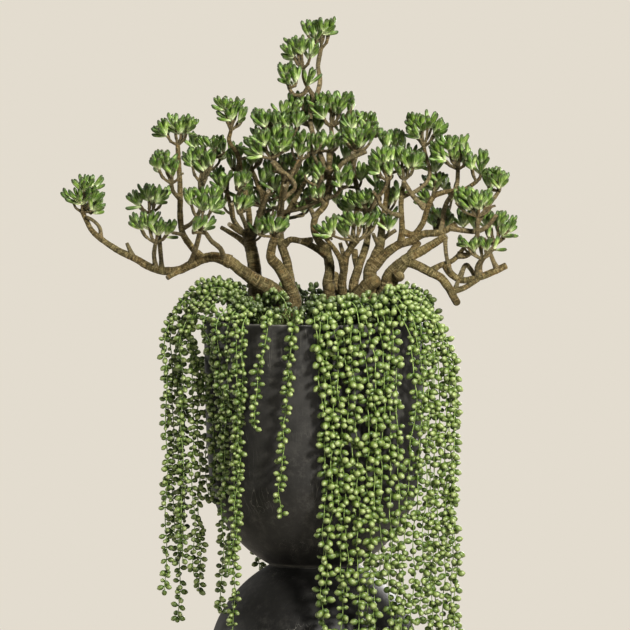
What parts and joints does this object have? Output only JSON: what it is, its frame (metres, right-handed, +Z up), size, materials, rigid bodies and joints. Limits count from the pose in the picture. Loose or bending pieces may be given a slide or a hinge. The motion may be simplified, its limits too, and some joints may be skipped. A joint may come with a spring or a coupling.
{
  "type": "potted succulent plant",
  "caption": "Crassula with finger-shaped leaves and trailing string-of-pearls strands in a tall matte black hourglass pot.",
  "frame": {"origin": "centre of the pot's foot, on the floor", "axes": "+Z up, along the pot's axis; the front of the plant faces -Y; +X is to the right in the picture"},
  "size_m": [0.6309, 0.3532, 1.0835],
  "materials": {
    "pot": "matte",
    "soil": "matte",
    "bark": "matte",
    "leaf": "satin",
    "pearl": "satin"
  },
  "bodies": {
    "root": {"head_centre_front_low": "leaf", "head_centre_right": "leaf", "head_centre_right_low": "leaf", "head_centre_upper": "leaf", "head_crown_front_inner": "leaf", "head_crown_front_left": "leaf", "head_crown_front_middle": "leaf", "head_crown_front_right": "leaf", "head_crown_inner": "leaf", "head_crown_left": "leaf", "head_crown_low_inner": "leaf", "head_crown_middle": "leaf", "head_crown_right": "leaf", "head_crown_top": "leaf", "head_far_left": "leaf", "head_front_low_left": "leaf", "head_front_low_middle": "leaf", "head_front_low_right": "leaf", "head_left_behind": "leaf", "head_left_centre": "leaf", "head_left_front": "leaf", "head_left_front_low": "leaf", "head_left_inner": "leaf", "head_left_low": "leaf", "head_left_middle": "leaf", "head_left_upper": "leaf", "head_middle_behind": "leaf", "head_middle_left": "leaf", "head_middle_left_inner": "leaf", "head_middle_low": "leaf", "head_right_behind": "leaf", "head_right_behind_low": "leaf", "head_right_edge": "leaf", "head_right_edge_low": "leaf", "head_right_front": "leaf", "head_right_inner": "leaf", "head_right_low": "leaf", "head_right_low_behind": "leaf", "head_right_middle": "leaf", "head_right_outer": "leaf", "head_right_outer_low": "leaf", "head_right_upper": "leaf", "head_right_upper_outer": "leaf", "head_tip_left": "leaf", "head_tip_low": "leaf", "head_tip_upper": "leaf", "head_upper_behind_left": "leaf", "head_upper_middle_left": "leaf", "pearls_behind_left": "pearl", "pearls_behind_right": "pearl", "pearls_front": "pearl", "pearls_left_inner": "pearl", "pearls_left_outer": "pearl", "pearls_right_front": "pearl", "pearls_right_outer": "pearl", "pot_base": "pot", "pot_bowl": "pot", "soil": "soil", "stems_left": "bark", "stems_right": "bark"}
  },
  "joints": []
}
